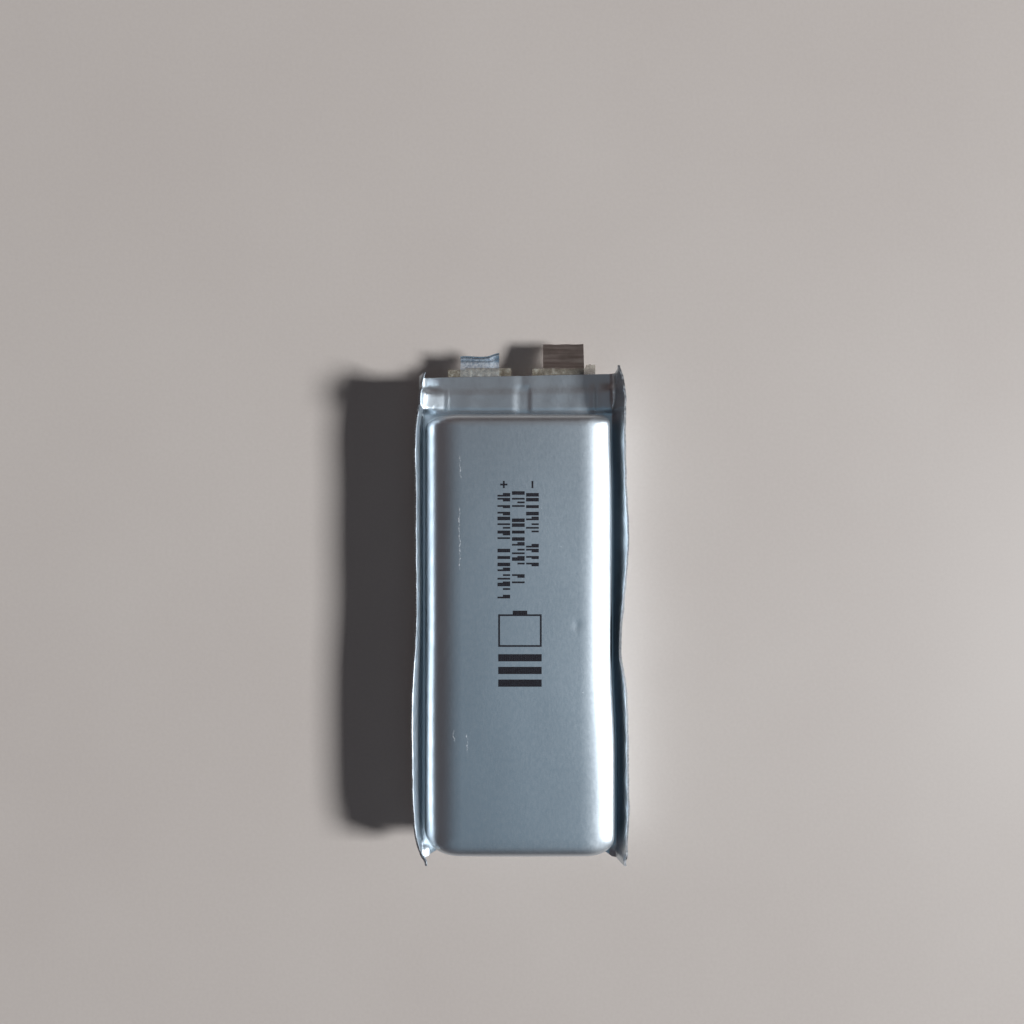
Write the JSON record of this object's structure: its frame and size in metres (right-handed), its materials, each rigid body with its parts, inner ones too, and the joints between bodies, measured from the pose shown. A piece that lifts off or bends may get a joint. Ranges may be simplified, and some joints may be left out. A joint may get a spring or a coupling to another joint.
{
  "type": "pouch battery cell",
  "caption": "Flat foil-pouch lithium-polymer cell with folded side seals and bendable metal tabs on a top seal flange.",
  "frame": {"origin": "centre of the back cup's flat face, which the cell lies on", "axes": "+Z out of the front cup's face, +Y towards the end with the tabs, +X to the right seen from the front"},
  "size_m": [0.03, 0.0732, 0.0087],
  "materials": {
    "pouch_foil": "satin",
    "aluminium_tab": "rolled",
    "nickel_tab": "rolled",
    "seal_film": "translucent",
    "cathode": "coated",
    "anode": "coated",
    "separator": "film",
    "amber_tape": "film",
    "green_tape": "film"
  },
  "bodies": {
    "cell": {"front_pouch_shell": "pouch_foil", "back_pouch_shell": "pouch_foil", "positive_tab_root": "aluminium_tab", "negative_tab_root": "nickel_tab", "positive_tab_film_front": "seal_film", "positive_tab_film_back": "seal_film", "negative_tab_film_front": "seal_film", "negative_tab_film_back": "seal_film", "cathode_strip": "cathode", "anode_strip": "anode", "separator_inner": "separator", "separator_outer": "separator", "roll_closing_tape": "amber_tape", "roll_bottom_tape": "green_tape", "positive_weld_tape": "green_tape", "negative_weld_tape": "green_tape"},
    "positive_tab": {"positive_tab_blade": "aluminium_tab"},
    "negative_tab": {"negative_tab_blade": "nickel_tab"},
    "left_wing": {"left_wing_front_ply": "pouch_foil", "left_wing_back_ply": "pouch_foil"},
    "right_wing": {"right_wing_front_ply": "pouch_foil", "right_wing_back_ply": "pouch_foil"}
  },
  "joints": [
    {"name": "positive_tab_bend", "type": "hinge", "parent": "cell", "child": "positive_tab", "pos_m": [-0.00575, 0.038, 0.00435], "axis": [1, 0, 0], "range_deg": [-90, 90]},
    {"name": "negative_tab_bend", "type": "hinge", "parent": "cell", "child": "negative_tab", "pos_m": [0.00635, 0.038, 0.00435], "axis": [1, 0, 0], "range_deg": [-90, 90]},
    {"name": "left_wing_fold", "type": "hinge", "parent": "cell", "child": "left_wing", "pos_m": [-0.0137, 0, 0.00435], "axis": [0, 1, 0], "range_deg": [-72, 22]},
    {"name": "right_wing_fold", "type": "hinge", "parent": "cell", "child": "right_wing", "pos_m": [0.0137, 0, 0.00435], "axis": [0, -1, 0], "range_deg": [-72, 14]}
  ]
}
